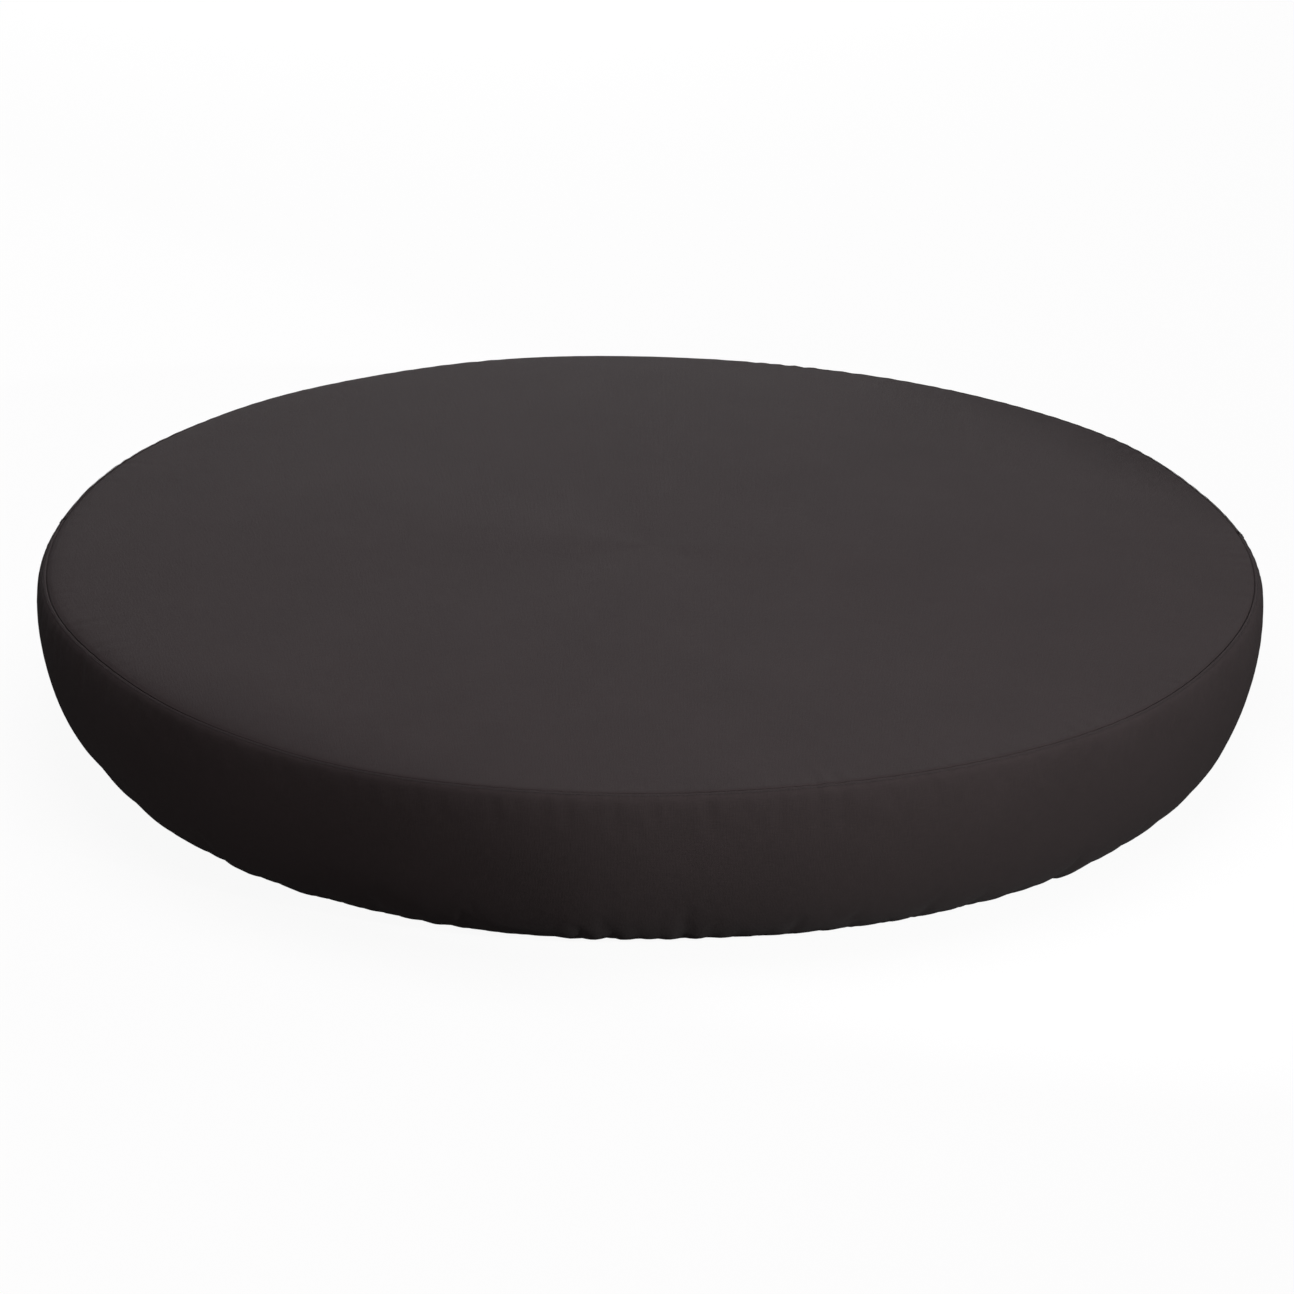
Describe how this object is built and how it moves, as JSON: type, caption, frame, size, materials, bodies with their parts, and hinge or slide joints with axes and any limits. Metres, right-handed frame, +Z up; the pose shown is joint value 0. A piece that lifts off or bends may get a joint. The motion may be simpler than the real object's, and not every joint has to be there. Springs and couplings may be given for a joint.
{
  "type": "spa cover",
  "caption": "Round insulated spa cover: a fitted woven jacket with a crowned top, a padded skirt and an elastic hem over a foam core.",
  "frame": {"origin": "middle of the cover on the plane that the hem rests on", "axes": "+Z up out of the top panel, -Y towards the front, the zip and the handles in the rear half, on the +Y side"},
  "size_m": [2.032, 2.032, 0.325],
  "materials": {
    "jacket_fabric": "matte",
    "lining_fabric": "matte",
    "binding_tape": "matte",
    "core_foam": "matte",
    "skirt_foam": "matte",
    "wadding": "matte",
    "vapour_film": "gloss",
    "elastic_band": "matte",
    "channel_metal": "satin",
    "eyelet_metal": "satin",
    "zip_coil": "satin",
    "zip_metal": "satin",
    "webbing": "matte",
    "buckle_plastic": "satin"
  },
  "bodies": {
    "cover": {"top_panel": "jacket_fabric", "side_band_front": "jacket_fabric", "side_band_rear": "jacket_fabric", "side_seam_left": "jacket_fabric", "side_seam_right": "jacket_fabric", "top_seam_binding": "binding_tape", "hem_casing": "jacket_fabric", "hem_elastic": "elastic_band", "skirt_padding": "skirt_foam", "foam_core_left": "core_foam", "foam_core_right": "core_foam", "spine_channel_left": "channel_metal", "spine_channel_right": "channel_metal", "vapour_film_lower": "vapour_film", "vapour_film_upper": "vapour_film", "top_pad": "wadding", "edge_pad": "wadding", "underside_lining": "lining_fabric", "lining_border": "lining_fabric", "lining_seam_tape": "binding_tape", "zip_tape_inner": "binding_tape", "zip_tape_outer": "binding_tape", "zip_coil_inner": "zip_coil", "zip_coil_outer": "zip_coil", "zip_stop_open": "zip_metal", "zip_stop_closed": "zip_metal", "handle_right_patch_front": "jacket_fabric", "handle_right_patch_rear": "jacket_fabric", "handle_left_patch_front": "jacket_fabric", "handle_left_patch_rear": "jacket_fabric", "drain_eyelet_1": "eyelet_metal", "strap_anchor_1": "webbing", "drain_eyelet_2": "eyelet_metal", "strap_anchor_2": "webbing", "drain_eyelet_3": "eyelet_metal", "strap_anchor_3": "webbing", "drain_eyelet_4": "eyelet_metal", "strap_anchor_4": "webbing"},
    "slider": {"zip_slider": "zip_metal"},
    "pull": {"zip_pull": "zip_metal"},
    "handle_right": {"handle_right": "webbing"},
    "handle_left": {"handle_left": "webbing"},
    "tie_1": {"tie_strap_1": "webbing", "tie_buckle_1": "buckle_plastic"},
    "tie_2": {"tie_strap_2": "webbing", "tie_buckle_2": "buckle_plastic"},
    "tie_3": {"tie_strap_3": "webbing", "tie_buckle_3": "buckle_plastic"},
    "tie_4": {"tie_strap_4": "webbing", "tie_buckle_4": "buckle_plastic"}
  },
  "joints": [
    {"name": "zip_travel", "type": "hinge", "parent": "cover", "child": "slider", "pos_m": [0, 0, 0.11], "axis": [0, 0, 1], "range_deg": [-156, 0]},
    {"name": "zip_pull_flip", "type": "hinge", "parent": "slider", "child": "pull", "pos_m": [-0.84121, 0.1788, 0.101], "axis": [-0.9781, 0.2079, 0], "range_deg": [-85, 85]},
    {"name": "handle_right_swing", "type": "hinge", "parent": "cover", "child": "handle_right", "pos_m": [0.91453, 0.46598, 0.232], "axis": [0.454, -0.891, 0], "range_deg": [0, 64]},
    {"name": "handle_left_swing", "type": "hinge", "parent": "cover", "child": "handle_left", "pos_m": [-0.91453, 0.46598, 0.232], "axis": [0.454, 0.891, 0], "range_deg": [0, 64]},
    {"name": "tie_1_swing", "type": "hinge", "parent": "cover", "child": "tie_1", "pos_m": [0.68575, 0.68575, 0.1069], "axis": [-0.7071, 0.7071, 0], "range_deg": [0, 42]},
    {"name": "tie_2_swing", "type": "hinge", "parent": "cover", "child": "tie_2", "pos_m": [-0.68575, 0.68575, 0.1069], "axis": [-0.7071, -0.7071, 0], "range_deg": [0, 42]},
    {"name": "tie_3_swing", "type": "hinge", "parent": "cover", "child": "tie_3", "pos_m": [-0.68575, -0.68575, 0.1069], "axis": [0.7071, -0.7071, 0], "range_deg": [0, 42]},
    {"name": "tie_4_swing", "type": "hinge", "parent": "cover", "child": "tie_4", "pos_m": [0.68575, -0.68575, 0.1069], "axis": [0.7071, 0.7071, 0], "range_deg": [0, 42]}
  ]
}
